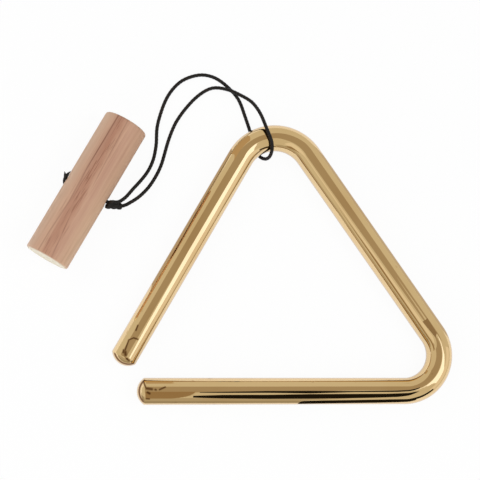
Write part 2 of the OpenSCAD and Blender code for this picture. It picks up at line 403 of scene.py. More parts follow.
def ramp(tree, value, span, to_low=0.0, to_high=1.0):
    """A value in metres, remapped between two places in millimetres."""
    return remap(tree, value, span[0] * MM, span[1] * MM, to_low, to_high)


def vector_maths(tree, operation, inputs):
    """The outputs of a vector operation: a vector at 0, and a number under Value."""
    return node(tree, "ShaderNodeVectorMath", inputs, operation=operation).outputs


def stretched(tree, coordinates, scale):
    made = node(tree, "ShaderNodeMapping", {"Vector": coordinates, "Scale": scale})
    return made.outputs["Vector"]


def cloud(tree, coordinates, scale, detail=2.0, roughness=0.5, distortion=0.0):
    """Noise from 0 to 1, with scale in repeats per metre along each axis."""
    made = node(
        tree, "ShaderNodeTexNoise",
        {
            "Vector": stretched(tree, coordinates, scale), "Scale": 1.0, "Detail": detail,
            "Roughness": roughness, "Distortion": distortion,
        },
    )
    return made.outputs["Fac"]


def bump(tree, height, strength, distance, normal=None):
    inputs = {"Height": height, "Strength": strength, "Distance": distance}
    if normal is not None:
        inputs["Normal"] = normal
    return node(tree, "ShaderNodeBump", inputs).outputs["Normal"]


def empty_material(name):
    """A material without nodes, and its tree."""
    made = bpy.data.materials.new(name)
    made.use_nodes = True
    made.node_tree.nodes.clear()
    return made, made.node_tree


def new_material(name):
    """A material with only its surface shader, and that shader and its pattern coordinates."""
    made, tree = empty_material(name)
    shader = node(tree, "ShaderNodeBsdfPrincipled")
    node(tree, "ShaderNodeOutputMaterial", {"Surface": shader.outputs[0]})
    grain = node(tree, "ShaderNodeAttribute", attribute_name=GRAIN).outputs["Vector"]
    return made, tree, shader, grain


def across(tree, value, middle, reach):
    """1 where a value is at a middle, falling evenly to 0 at a reach from it."""
    away = maths(tree, "ABSOLUTE", maths(tree, "SUBTRACT", value, middle))
    return remap(tree, away, 0, reach, 1, 0)


def product(tree, *factors):
    out = factors[0]
    for factor in factors[1:]:
        out = maths(tree, "MULTIPLY", out, factor)
    return out


def largest(tree, values):
    out = values[0]
    for value in values[1:]:
        out = maths(tree, "MAXIMUM", out, value)
    return out


def stroke(tree, place, start, end, reach):
    """1 on a straight stroke between two points, in metres, falling to 0 at a reach from it."""
    start, end = Vector((start[0], 0, start[1])), Vector((end[0], 0, end[1]))
    course = end - start
    from_start = vector_maths(tree, "SUBTRACT", {0: place, 1: start})[0]
    along = vector_maths(tree, "DOT_PRODUCT", {0: from_start, 1: course})["Value"]
    share = maths(tree, "DIVIDE", along, course.length_squared, clamp=True)
    gone = vector_maths(tree, "SCALE", {0: course, "Scale": share})[0]
    away = vector_maths(tree, "DISTANCE", {0: from_start, 1: gone})["Value"]
    return remap(tree, away, reach * MARK_CORE_SHARE, reach, 1, 0)


def nicks_and_dome_reflection(tree, grain, total):
    """Dark nicks and stains near the rod's two ends, on its upper side, and on each dome a dark arc that is
    a painted reflection.
    """
    flat = vector_maths(tree, "MULTIPLY", {0: grain, 1: (1, 0, 1)})[0]
    from_leg = [(x1, total - z1, x2, total - z2, reach) for x1, z1, x2, z2, reach in LEG_MARKS]
    marks = [
        stroke(tree, flat, (x1 * MM, z1 * MM), (x2 * MM, z2 * MM), reach * MM)
        for x1, z1, x2, z2, reach in BAR_MARKS + from_leg
    ]
    axes = node(tree, "ShaderNodeSeparateXYZ", {0: grain}).outputs
    upper = product(tree, largest(tree, marks), ramp(tree, axes["Y"], (0, 1)), MARK_DARKNESS)
    # Painted reflection: a dark arc on each dome
    from_end = maths(tree, "MINIMUM", axes["Z"], maths(tree, "SUBTRACT", total * MM, axes["Z"]))
    on_dome = ramp(tree, from_end, [END_DOME - inwards for inwards in DOME_REFLECTION_FADE])
    arc = across(tree, axes["Y"], DOME_REFLECTION_AT * MM, DOME_REFLECTION_REACH * MM)
    arc = product(tree, on_dome, remap(tree, arc, 0, 0.5, 0, DOME_REFLECTION_DARKNESS))
    return maths(tree, "MAXIMUM", upper, arc)


def brass_material(total):
    """Polished brass: faint drawn lines along the rod, smudges, some tarnish, nicks near its ends, and a
    painted dark reflection on each domed end.
    """
    made, tree, shader, grain = new_material("polished_brass")
    tarnish = remap(tree, cloud(tree, grain, (60, 60, 25), 3), 0.45, 0.8)
    colour = mixed(tree, tarnish, BRASS, TARNISHED_BRASS)
    spots = remap(tree, cloud(tree, grain, (450, 450, 260), 1), 0.74, 0.8, 0, 0.4)
    colour = mixed(tree, spots, colour, BRASS_SPOT)
    colour = mixed(tree, nicks_and_dome_reflection(tree, grain, total), colour, BRASS_NICK_AND_REFLECTION)
    tree.links.new(colour, shader.inputs["Base Color"])
    shader.inputs["Metallic"].default_value = 1.0
    smudge = remap(tree, cloud(tree, grain, (90, 90, 45), 4, 0.6), 0.45, 0.75, 0.03, 0.08)
    tree.links.new(smudge, shader.inputs["Roughness"])
    waves = bump(tree, cloud(tree, grain, (260, 260, 60), 1), 0.1, 0.0002)
    lines = bump(tree, cloud(tree, grain, (6000, 6000, 90), 2), 0.03, 0.00002, waves)
    tree.links.new(lines, shader.inputs["Normal"])
    return made


def growth_lines(tree, grain, x, along):
    """Fine dark growth lines and dashes along the wood, and the place of the first two lines across it."""
    swell = across(tree, along, SWELL_AT * MM, SWELL_REACH * MM)
    first_at = maths(tree, "SUBTRACT", maths(tree, "MULTIPLY", swell, SWELL_BY * MM), FIRST_LINE_LEFT * MM)
    second_at = ramp(tree, along, SECOND_LINE_SPAN, *(right * MM for right in SECOND_LINE_RIGHT))
    from_turn = maths(tree, "ABSOLUTE", maths(tree, "ADD", along, THIRD_LINE_TURN * MM))
    third_at = maths(tree, "MULTIPLY", from_turn, THIRD_LINE_SLOPE)
    third_at = maths(tree, "SUBTRACT", third_at, THIRD_LINE_LEFT * MM)
    broken = remap(tree, cloud(tree, grain, (500, 500, 160), 2), 0.35, 0.6, 0.35, 1)
    first = across(tree, x, first_at, FIRST_LINE_WIDE * MM)
    first = product(tree, first, ramp(tree, along, (0, 16), 0.45, 1))
    second = across(tree, x, second_at, SECOND_LINE_WIDE * MM)
    second = product(tree, second, ramp(tree, along, (-3, 8), 0, 0.6), broken)
    third = across(tree, x, third_at, THIRD_LINE_WIDE * MM)
    third = product(tree, third, ramp(tree, along, (3, -3), 0, 0.6), broken)
    dashes = remap(tree, cloud(tree, grain, (2300, 2300, 110), 2, 0.5), 0.56, 0.68)
    dashes = product(tree, dashes, across(tree, x, -1.5 * MM, 5 * MM), 0.8)
    return largest(tree, [first, second, third, dashes]), first_at, second_at


def sawn_ends(tree, grain):
    """The colour of a sawn end, pale partly as end grain and partly with painted light, with its faint rings
    and browner rim.
    """
    rings = cloud(tree, grain, (900, 180, 0), 2)
    pale = mixed(tree, remap(tree, rings, 0.35, 0.7), SAWN_GRAIN_AND_PAINTED_LIGHT, SAWN_RING_AND_PAINTED_LIGHT)
    flat = vector_maths(tree, "MULTIPLY", {0: grain, 1: (1, 1, 0)})[0]
    radius = vector_maths(tree, "LENGTH", {0: flat})["Value"]
    rim = ramp(tree, radius, (HANDLE_R - SAWN_RIM_WIDE, HANDLE_R - HANDLE_ROUND * 0.6), 0, 0.6)
    return mixed(tree, rim, pale, SAWN_RIM)


def wood_material():
    """Pinkish tan wood: a reddish band between fine dark growth lines, streaks, pores, painted light on its
    left and right sides, and sawn ends pale partly as end grain and partly with painted light.
    """
    made, tree, shader, grain = new_material("pinkish_hardwood")
    axes = node(tree, "ShaderNodeSeparateXYZ", {0: grain}).outputs
    along = axes["Z"]
    shake = remap(tree, cloud(tree, grain, (60, 60, 35), 2), 0.25, 0.75, -SHAKE * MM, SHAKE * MM)
    x = maths(tree, "ADD", axes["X"], shake)

    broad = cloud(tree, grain, (230, 230, 14), 3, 0.6, 0.3)
    body = mixed(tree, remap(tree, broad, 0.38, 0.62), WOOD_DEEP, WOOD)
    # Painted light: paler on the left side, and on the right side most towards one end
    body = mixed(tree, ramp(tree, x, LEFT_PAINTED_LIGHT), body, WOOD_PAINTED_LIGHT_LEFT)
    right = product(tree, ramp(tree, x, RIGHT_PAINTED_LIGHT), ramp(tree, along, (18, -16), 0.35, 1))
    body = mixed(tree, right, body, WOOD_PAINTED_LIGHT_RIGHT)

    lines, first_at, second_at = growth_lines(tree, grain, x, along)
    middle = maths(tree, "MULTIPLY", maths(tree, "ADD", first_at, second_at), 0.5)
    from_middle = maths(tree, "ABSOLUTE", maths(tree, "SUBTRACT", x, middle))
    patchy = remap(tree, cloud(tree, grain, (500, 500, 60), 3, 0.6), 0.35, 0.62, 0.3, 1)
    band = ramp(tree, from_middle, BAND_EDGE, 1, 0)
    band = product(tree, band, ramp(tree, along, (-30, 8), 0.3, 0.8), patchy)
    coloured = mixed(tree, band, body, WOOD_BAND)
    coloured = mixed(tree, lines, coloured, WOOD_LINE)
    fine = cloud(tree, grain, (1500, 1500, 28), 3, 0.6)
    coloured = mixed(tree, remap(tree, fine, 0.5, 0.75, 0, 0.5), coloured, WOOD_PORE)

    from_middle = maths(tree, "ABSOLUTE", along)
    sawn = ramp(tree, from_middle, [HANDLE_LEN / 2 - depth for depth in SAWN_DEPTH])
    tree.links.new(mixed(tree, sawn, coloured, sawn_ends(tree, grain)), shader.inputs["Base Color"])
    shader.inputs["Roughness"].default_value = 0.6
    tree.links.new(bump(tree, fine, 0.25, 0.00005), shader.inputs["Normal"])
    return made


def cord_material():
    """Black waxed thread, with brown patches and pale flecks, the flecks partly fibre and partly painted
    glints of its sheen.
    """
    made, tree, shader, grain = new_material("black_waxed_thread")
    fibres = cloud(tree, grain, (9000, 9000, 500), 3, 0.6)
    colour = mixed(tree, fibres, THREAD, THREAD_WORN)
    brown = remap(tree, cloud(tree, grain, (300, 300, 60), 2), 0.5, 0.75, 0, 0.6)
    colour = mixed(tree, brown, colour, THREAD_BROWN)
    # Pale flecks, partly fibre and partly painted glints
    flecks = remap(tree, cloud(tree, grain, (2600, 2600, 1300), 1), 0.68, 0.74, 0, 0.7)
    colour = mixed(tree, flecks, colour, THREAD_FLECK_AND_GLINT)
    tree.links.new(colour, shader.inputs["Base Color"])
    shader.inputs["Roughness"].default_value = 0.4
    shader.inputs["Specular IOR Level"].default_value = 0.25
    tree.links.new(bump(tree, fibres, 0.5, 0.00004), shader.inputs["Normal"])
    return made


# The rod


def rod_shape():
    """Sizes that follow from the rod's corners: straight lengths, bend middles and the loop's place."""
    left_side = BASE_SIDE * math.sin(CORNER_RIGHT) / math.sin(CORNER_TOP)
    right_side = BASE_SIDE * math.sin(CORNER_LEFT) / math.sin(CORNER_TOP)
    right_cut = BEND_RIGHT_R / math.tan(CORNER_RIGHT / 2)
    top_cut = BEND_TOP_R / math.tan(CORNER_TOP / 2)
    top_corner = left_side * turned(CORNER_LEFT)
    top_middle = top_corner - BEND_TOP_R / math.sin(CORNER_TOP / 2) * turned(CORNER_LEFT + CORNER_TOP / 2)
    loop = top_middle + BEND_TOP_R * turned(math.pi / 2 + LOOP_ANGLE)
    return {
        "bar": BASE_SIDE - right_cut - BAR_GAP,
        "right_leg": right_side - right_cut - top_cut,
        "left_leg": left_side - top_cut - LEG_GAP,
        "right_reach": BASE_SIDE - right_cut + BEND_RIGHT_R + ROD_R + BEND_SWELL,
        "loop": loop,
        "tilt": math.asin(LOOP_LIFT / loop[1]),
    }


def rod_stations(shape):
    """Centre points and heading angles along the flat rod, from the bar's end round to the leg's end."""
    straight_step, bend_step = 2.0, math.radians(2)
    at, angle = np.array((BAR_GAP, 0.0, 0.0)), 0.0
    stations = [(at, angle)]
    course = [
        (shape["bar"], None), (BEND_RIGHT_R, math.pi - CORNER_RIGHT), (shape["right_leg"], None),
        (BEND_TOP_R, math.pi - CORNER_TOP), (shape["left_leg"], None),
    ]
    for size, turn in course:
        if turn is None:
            count = round(size / straight_step)
            stations += [(at + size * k / count * turned(angle), angle) for k in range(1, count + 1)]
        else:
            count = round(turn / bend_step)
            middle = at + size * turned(angle + math.pi / 2)
            for k in range(1, count + 1):
                heading = angle + turn * k / count
                stations.append((middle + size * turned(heading - math.pi / 2), heading))
        at, angle = stations[-1]
    return stations


def rod_length(shape):
    """Length of the rod along its middle, from end to end."""
    bends = BEND_RIGHT_R * (math.pi - CORNER_RIGHT) + BEND_TOP_R * (math.pi - CORNER_TOP)
    return shape["bar"] + shape["right_leg"] + shape["left_leg"] + bends


def end_profile():
    """Distance behind the end and radius of each ring of a domed end, from its middle outwards."""
    ball_r = (ROD_R ** 2 + END_DOME ** 2) / (2 * END_DOME)
    dome = ROD_R - END_EDGE
    radii = [dome * k / DOME_RINGS for k in range(1, DOME_RINGS + 1)]
    rings = [(ball_r - math.sqrt(ball_r ** 2 - r * r), r) for r in radii]
    edge_back = rings[-1][0]
    edge_shares = [(0.5, 0.6), (1.1, 0.9), (2, 1)]
    return rings + [(edge_back + EDGE_STRETCH * END_EDGE * x, dome + END_EDGE * y) for x, y in edge_shares]


def build_rod(shape, corner):
    """The bent rod as one swept mesh, tilted about its bottom bar as it lies on the cord."""
    round_angles = np.linspace(0, 2 * math.pi, ROD_SIDES, endpoint=False)
    cosines, sines = np.cos(round_angles)[:, None], np.sin(round_angles)[:, None]
    stations = rod_stations(shape)
    points = np.array([p for p, _ in stations])
    gone = np.concatenate(([0], np.cumsum(np.linalg.norm(np.diff(points, axis=0), axis=1))))
    total = gone[-1]
    profile = end_profile()
    dome_end = profile[-1][0]
    (first, first_angle), (last, last_angle) = stations[0], stations[-1]
    places = [(first + back * turned(first_angle), first_angle, radius, back) for back, radius in profile]
    for (p, angle), distance in zip(stations, gone):
        if dome_end < distance < total - dome_end:
            places.append((p, angle, ROD_R, distance))
    for back, radius in reversed(profile):
        places.append((last - back * turned(last_angle), last_angle, radius, total - back))
    rings, grain = [], []
    for p, angle, radius, distance in places:
        sideways = turned(angle + math.pi / 2)
        rings.append(p + radius * (cosines * sideways + sines * np.array((0, 0, 1.0))))
        grain.append(np.hstack((radius * cosines, radius * sines, np.full((ROD_SIDES, 1), distance))))
    verts, faces = lofted(rings, (first, last))
    grain = np.vstack((*grain, (0, 0, 0), (0, 0, total)))
    tilted = verts @ np.array(Matrix.Rotation(shape["tilt"], 3, "X")).T
    return new_mesh("brass_rod", tilted + corner + (0, 0, ROD_R), faces, grain)


# The handle


def handle_place(middle):
    """How the handle's own frame, +Z along it and +X along its cross hole, is turned and placed."""
    hole = turned(HANDLE_ANGLE - math.pi / 2)
    along = turned(HANDLE_ANGLE)
    return np.column_stack((hole, np.cross(along, hole), along)), np.asarray(middle)


def build_handle(middle):
    """A turned dowel with rounded edges, and a cross hole with eased mouths."""
    # Each mouth has a square of the side to itself: its half size in columns and rows, and in millimetres
    columns, half = 96, 6
    step = 2 * math.pi / columns
    square = 4.0
    far_rows, edge_rows = 20, 6
    straight = HANDLE_LEN / 2 - HANDLE_ROUND
    near = [square * k / half for k in range(-half, half + 1)]
    far = [square + (straight - square) * k / far_rows for k in range(1, far_rows + 1)]
    edge = [
        (straight + HANDLE_ROUND * math.sin(a), HANDLE_R - HANDLE_ROUND + HANDLE_ROUND * math.cos(a))
        for a in (math.pi / 2 * k / edge_rows for k in range(1, edge_rows + 1))
    ]
    face_shares = (0.96, 0.85, 0.7, 0.55, 0.4, 0.25, 0.1)
    face = [(HANDLE_LEN / 2, (HANDLE_R - HANDLE_ROUND) * share) for share in face_shares]
    upper = [(z, HANDLE_R) for z in far] + edge + face
    rows = [(-z, r) for z, r in reversed(upper)] + [(z, HANDLE_R) for z in near] + upper
    low_row = len(upper)
    high_row = low_row + 2 * half
    verts, faces, number = [], [], {}

    def from_mouth(column):
        """How many columns away the nearest mouth's middle is."""
        past = column % (columns // 2)
        return min(past, columns // 2 - past)

    for j, (z, r) in enumerate(rows):
        for i in range(columns):
            if from_mouth(i) >= half or not low_row < j < high_row:
                number[i, j] = len(verts)
                verts.append((r * math.cos(i * step), r * math.sin(i * step), z))
    for j in range(len(rows) - 1):
        for i in range(columns):
            corners = [(i, j), ((i + 1) % columns, j), ((i + 1) % columns, j + 1), (i, j + 1)]
            if from_mouth(i + 0.5) > half or not low_row <= j < high_row:
                faces.append([number[c] for c in corners])
    for j, end in ((0, -1), (len(rows) - 1, 1)):
        tip = len(verts)
        verts.append((0, 0, end * HANDLE_LEN / 2))
        faces += [(tip, number[i, j], number[(i + 1) % columns, j]) for i in range(columns)]

    # The outline of a mouth's square, in columns and rows from its middle
    outline = (
        [(half, k) for k in range(-half, half)] + [(k, half) for k in range(half, -half, -1)]
        + [(-half, k) for k in range(half, -half, -1)] + [(k, -half) for k in range(-half, half)]
    )
    hole_r = HOLE_D / 2
    walls = []
    for facing in (1, -1):
        middle_column = 0 if facing == 1 else columns // 2
        ring = [number[(middle_column + facing * a) % columns, low_row + half + b] for a, b in outline]
        rounds = [math.atan2(b / half * square, math.sin(a * step) * HANDLE_R) for a, b in outline]
        rings = [ring]

        def add_ring(at):
            rings.append(list(range(len(verts), len(verts) + len(outline))))
            verts.extend(at(k) for k in range(len(outline)))

        def on_side(share):
            def at(k):
                a, b = outline[k]
                mouth = hole_r + MOUTH_ROUND
                angle = a * step * (1 - share) + share * math.asin(mouth * math.cos(rounds[k]) / HANDLE_R)
                z = b / half * square * (1 - share) + share * mouth * math.sin(rounds[k])
                return facing * HANDLE_R * math.cos(angle), HANDLE_R * math.sin(angle), z
            return at

        def on_mouth(turn):
            def at(k):
                radius = hole_r + MOUTH_ROUND * (1 - math.sin(turn))
                y, z = radius * math.cos(rounds[k]), radius * math.sin(rounds[k])
                depth = MOUTH_ROUND * (1 - math.cos(turn))
                return facing * (math.sqrt(HANDLE_R ** 2 - y * y) - depth), y, z
            return at

        for share in (0.25, 0.5, 0.75, 0.9, 1.0):
            add_ring(on_side(share))
        for turn in (22.5, 45, 67.5, 90):
            add_ring(on_mouth(math.radians(turn)))
        for a, b in zip(rings, rings[1:]):
            faces += ring_faces(a, b)
        walls.append(rings[-1])
    previous = walls[0]
    for share in (0.25, 0.5, 0.75):
        inner = list(range(len(verts), len(verts) + len(outline)))
        for a, b in zip(*walls):
            verts.append(tuple(np.array(verts[a]) * (1 - share) + np.array(verts[b]) * share))
        faces += ring_faces(previous, inner)
        previous = inner
    faces += ring_faces(previous, walls[1])

    turn, at = handle_place(middle)
    local = np.array(verts)
    return new_mesh("wooden_handle", local @ turn.T + at, faces, local)


# The cord and its knots


def ply_tube(name, route, diameter, lay=CORD_LAY, tip=0.5, wide=1, first=(0, 0, 1), held=False):
    """A twisted cord along a route: three plies whose grooves run round it, with blunt cut ends.

    wide stretches it along its side direction, as on a cord pressed flat. That direction starts as first,
    and stays there all along if held.
    """
    sides_per_ply = 8
    sides = PLIES * sides_per_ply
    steps_per_lay = 12
    p = spaced(route, lay / steps_per_lay)
    along = headings(p)
    side = side_directions(p, first, held)
    up = np.cross(along, side)
    step = np.linalg.norm(p[1] - p[0])
    angles = np.linspace(0, 2 * math.pi, sides, endpoint=False)
    lobes = np.abs(np.cos(PLIES * angles / 2)) ** PLY_ROUNDNESS
    profile = diameter / 2 * (1 - PLY_GROOVE_SHARE * (1 - lobes))
    section = (profile * np.cos(angles), profile * np.sin(angles))
    rings, grain = [], []
    for i, centre in enumerate(p):
        twist = 2 * math.pi * i * step / lay
        from_end = min(i, len(p) - 1 - i) * step
        width = 1 - TIP_DRAWN_SHARE * max(0, 1 - from_end / tip) ** 2 if tip else 1
        cosines, sines = np.cos(angles + twist)[:, None], np.sin(angles + twist)[:, None]
        rings.append(centre + width * profile[:, None] * (wide * cosines * side[i] + sines * up[i]))
        grain.append(np.column_stack((*section, np.full(sides, i * step))))
    verts, faces = lofted(rings, (p[0], p[-1]))
    grain = np.vstack((*grain, (0, 0, 0), (0, 0, (len(p) - 1) * step)))
    return new_mesh(name, verts, faces, grain)


def in_knot(mouth, knot_dir, places):
    """Points of the gathering knot: along it from the handle's hole, to its side, and above the hole."""
    aside = np.cross((0, 0, 1.0), knot_dir)
    return np.array([mouth + k * knot_dir + a * aside + (0, 0, z) for k, a, z in places])


def cord_route(loop, mouth, knot_dir):
    """The cord's line, from the top of the gathering knot round the rod and back into the knot."""
    free = np.array(ROUTE) + (loop[0], loop[1], 0)
    p = np.vstack((in_knot(mouth, knot_dir, UPPER_STRAND), free, in_knot(mouth, knot_dir, LOWER_STRAND)))
    p = refined(p, 4)
    p[:, 2] = np.maximum(p[:, 2], CREST_D / 2 + TABLE_GAP)
    return p


def build_gather_knot(mouth, knot_dir):
    """The winding, which lies against the wood and squares up along the knot, and the core inside it."""
    slant = math.tan(KNOT_TILT)
    last = WRAP_TURNS - WRAP_BEFORE
    places = []
    for i in range(round(WRAP_TURNS * WRAP_STEPS) + 1):
        turn = i / WRAP_STEPS - WRAP_BEFORE
        inwards = 1 - WRAP_TUCK_SHARE * max(0, (turn - last + WRAP_TUCK) / WRAP_TUCK) ** 2
        spread = WRAP_SPREAD * (1 - turn / last)
        aside = -(WRAP_REACH + spread) * inwards * math.cos(2 * math.pi * turn)
        above = WRAP_RISE * inwards * math.sin(2 * math.pi * turn)
        along = WRAP_START + WRAP_PITCH * min(turn, last - WRAP_TUCK) + slant * (1 - turn / last) * aside
        places.append((along, KNOT_ASIDE - spread + aside, above))
    winding = ply_tube(
        "gathering_knot", in_knot(mouth, knot_dir, places), WRAP_THICK, lay=WRAP_LAY, wide=WRAP_WIDE,
        first=knot_dir, held=True,
    )
    core_d = 2 * WRAP_REACH + CORE_PROUD
    inside = in_knot(mouth, knot_dir, [(k, KNOT_ASIDE, 0) for k in (CORE_START, CORE_END)])
    core = ply_tube(
        "gathered_strands", inside, core_d, lay=CORE_LAY, tip=CORE_TIP, wide=2 * WRAP_RISE / core_d,
    )
    return [winding, core]


def build_hole_strand(name, stopper, mouth, knot_dir, rise):
    """One of the two strands that run through the handle's cross hole into the gathering knot."""
    inside = [(0, 0, rise), (HOLE_STRAND_TURN, KNOT_ASIDE / 2, rise), (HOLE_STRAND_END, KNOT_ASIDE, rise)]
    route = np.vstack((stopper + (0, 0, rise), in_knot(mouth, knot_dir, inside)))
    return ply_tube(name, spaced(route, PATH_STEP), CORD_D)


def build_stopper(at, hole_dir):
    """The stopper knot: a tight overhand knot pressed flat against the wood, with pointed cut ends."""
    out = -hole_dir
    down = np.cross((0, 0, 1.0), out)

    def place(outwards, downwards, above):
        return at + outwards * out + downwards * down + np.array((0, 0, above))

    # The overhand knot is a trefoil, which reaches 3 units from its middle
    unit_size = (STOPPER_D - STOPPER_CORD_D) / 2 / 3
    thick = (STOPPER_H - STOPPER_CORD_D) / 2
    loops = []
    for k in range(STOPPER_STEPS + 1):
        t = 2 * math.pi * k / STOPPER_STEPS
        a = unit_size * (math.sin(t) + 2 * math.sin(2 * t))
        b = unit_size * (math.cos(t) - 2 * math.cos(2 * t))
        loops.append(place(STOPPER_H / 2 - thick * math.sin(3 * t), STOPPER_ASIDE + a, b))
    inner_turn = []
    for k in range(INNER_TURN_STEPS + 1):
        t = 2 * math.pi * INNER_TURN_SHARE * k / INNER_TURN_STEPS
        inner_turn.append(place(INNER_TURN_D / 2, INNER_TURN_R * math.cos(t), INNER_TURN_R * math.sin(t)))
    pieces = [
        ply_tube("stopper_knot_loops", np.array(loops), STOPPER_CORD_D, lay=STOPPER_LAY, tip=0),
        ply_tube("stopper_inner_turn", np.array(inner_turn), INNER_TURN_D, lay=INNER_TURN_LAY, tip=0),
    ]
    for name, points in TAILS.items():
        route = refined([place(*p) for p in points], 3)
        tail = ply_tube(name, route, STOPPER_CORD_D, lay=STOPPER_LAY, tip=0)
        taper(tail, route)
        pieces.append(tail)
    for piece in pieces:
        press(piece, at, out, down)
    return pieces


def taper(piece, route):
    """Draws a cord's piece in to a point at its route's end, as an end cut at a slant."""
    line = spaced(route, TAPER_STEP)
    gone = np.linspace(0, 1, len(line))
    for v in piece.data.vertices:
        p = np.array(v.co) / MM
        nearest = int(np.argmin(np.linalg.norm(line - p, axis=1)))
        past = max(0, (gone[nearest] - TAPER_FROM_SHARE) / (1 - TAPER_FROM_SHARE))
        width = 1 - TAPER_BY_SHARE * past ** TAPER_POWER
        v.co = ((line[nearest] + width * (p - line[nearest])) * MM).tolist()


def press(piece, at, out, down):
    """Thins a knot towards its lower side, and keeps it clear of the wood, which turns beside it."""
    for v in piece.data.vertices:
        p = np.array(v.co) / MM - at
        height, lower = p @ out, p @ down
        thinned = height * (1 - PRESSED_SLOPE * max(0.0, lower - PRESSED_FROM))
        v.co = ((at + p + (max(thinned, 0.0) - height) * out) * MM).tolist()


# Stage


def flat_piece(name, corners):
    """An object of one flat face, which isn't part of the instrument."""
    mesh = bpy.data.meshes.new(name)
    mesh.from_pydata((np.array(corners) * MM).tolist(), [], [tuple(range(len(corners)))])
    made = bpy.data.objects.new(name, mesh)
    bpy.context.scene.collection.objects.link(made)
    return made


def card(name, corners, colour):
    """A flat emitter or flag that only reflections see."""
    made = flat_piece(name, corners)
    paint, tree = empty_material(name)
    glow = node(tree, "ShaderNodeEmission", {"Color": (*colour, 1), "Strength": 1.0})
    node(tree, "ShaderNodeOutputMaterial", {"Surface": glow.outputs[0]})
    made.data.materials.append(paint)
    for ray in ("camera", "diffuse", "transmission", "volume_scatter", "shadow"):
        setattr(made, "visible_" + ray, False)


def level_card(name, height, outline, colour):
    """A card that lies level, with its outline in x and y."""
    card(name, [(x, y, height) for x, y in outline], colour)


def light_path_seen(tree):
    """1 for the rays that see the background: camera, glossy and transmission rays."""
    path = node(tree, "ShaderNodeLightPath").outputs
    either = maths(tree, "MAXIMUM", path["Is Camera Ray"], path["Is Glossy Ray"])
    return maths(tree, "MAXIMUM", either, path["Is Transmission Ray"])


def build_floor():
    """A pale floor that keeps a faint shadow, and that rays mirrored twice see dark, as a painted shade for
    the shadowed floor under the rod.
    """
    r = FLOOR_REACH
    floor = flat_piece("floor", [(-r, -r, FLOOR_AT), (r, -r, FLOOR_AT), (r, r, FLOOR_AT), (-r, r, FLOOR_AT)])
    paint, tree = empty_material("pale_floor")
    matte = node(tree, "ShaderNodeBsdfDiffuse", {"Color": FLOOR})
    path = node(tree, "ShaderNodeLightPath").outputs
    mirrored = maths(tree, "MAXIMUM", path["Is Glossy Ray"], path["Is Transmission Ray"])
    # Rays mirrored twice see a painted shade in place of the lit floor
    twice = maths(tree, "GREATER_THAN", path["Glossy Depth"], 1.5)
    colour = mixed(tree, mirrored, FLOOR_SEEN, FLOOR_MIRRORED)
    colour = mixed(tree, twice, colour, FLOOR_PAINTED_SHADE_TWICE)
    glow = node(tree, "ShaderNodeEmission", {"Color": colour, "Strength": 1.0})
    seen = maths(tree, "MULTIPLY", path["Is Camera Ray"], SEEN_LEVEL)
    share = maths(tree, "MAXIMUM", seen, maths(tree, "MULTIPLY", mirrored, FLOOR_MIRRORED_LEVEL))
    share = maths(tree, "MAXIMUM", share, maths(tree, "MULTIPLY", twice, mirrored))
    both = node(tree, "ShaderNodeMixShader", {0: share, 1: matte.outputs[0], 2: glow.outputs[0]})
    node(tree, "ShaderNodeOutputMaterial", {"Surface": both.outputs[0]})
    floor.data.materials.append(paint)


def build_world():
    """Plain surroundings: one level that the camera sees, one that the rod mirrors, and one that lights."""
    world = bpy.data.worlds.new("studio")
    bpy.context.scene.world = world
    world.use_nodes = True
    tree = world.node_tree
    tree.nodes.clear()
    seen = light_path_seen(tree)
    strength = remap(tree, seen, 0, 1, WORLD_LIGHT_LEVEL, WORLD_MIRRORED_LEVEL)
    camera = node(tree, "ShaderNodeLightPath").outputs["Is Camera Ray"]
    strength = maths(tree, "MAXIMUM", strength, maths(tree, "MULTIPLY", camera, SEEN_LEVEL))
    glow = node(tree, "ShaderNodeBackground", {"Color": (1, 1, 1, 1), "Strength": strength})
    node(tree, "ShaderNodeOutputWorld", {"Surface": glow.outputs[0]})


def area_lamp(name, at, power):
    """A soft lamp that faces the origin. Reflections don't show it, as the cards stand for it there."""
    data = bpy.data.lights.new(name, "AREA")
    data.size = LAMP_SIDE * MM
    data.energy = power
    lamp = bpy.data.objects.new(name, data)
    bpy.context.scene.collection.objects.link(lamp)
    lamp.location = Vector(at) * MM
    lamp.rotation_euler = (-lamp.location).to_track_quat("-Z", "Y").to_euler()
    lamp.visible_glossy = False


def build_camera():
    """The photograph's camera: nearly straight above, a little to the left and in front."""
    back = Vector(CAMERA_BACK).normalized()
    right = (Vector((1, 0, 0)) - back.x * back).normalized()
    up = back.cross(right)
    rolled = math.cos(CAMERA_ROLL) * right + math.sin(CAMERA_ROLL) * up
    data = bpy.data.cameras.new("camera")
    data.lens = CAMERA_LENS
    data.sensor_width = SENSOR_WIDTH
    data.sensor_fit = "HORIZONTAL"
    camera = bpy.data.objects.new("camera", data)
    turn = Matrix((rolled, back.cross(rolled), back)).transposed().to_4x4()
    camera.matrix_world = Matrix.Translation(Vector(CAMERA_AT) * MM) @ turn
    bpy.context.scene.collection.objects.link(camera)
    bpy.context.scene.camera = camera


def build_far_cards():
    """What the rod mirrors from above and from the side: a brown ceiling, a softbox and pale panels."""
    level_card(
        "overhead", 1000,
        [
            (-750, -250), (100, -250), (250, -60), (270, -10), (300, 30), (640, 50), (680, 300),
            (680, 750), (-750, 750),
        ],
        (0.42, 0.37, 0.32),
    )
    level_card(
        "softbox", 1900,
        [(560, -60), (690, -190), (850, -400), (2180, -1300), (2280, -570), (1180, -40), (740, 30)],
        (1.35, 1.5, 2.0),
    )
    panel = [(-1600, -840), (-60, -840), (-60, -2800), (-1600, -2800)]
    level_card("front_panel", 2000, panel, (0.82, 0.82, 0.87))
    side = [(1200, -1100, 200), (1200, 120, 200), (1200, 120, 920), (1200, -1100, 920)]
    card("side_panel", side, (0.85, 0.85, 0.93))


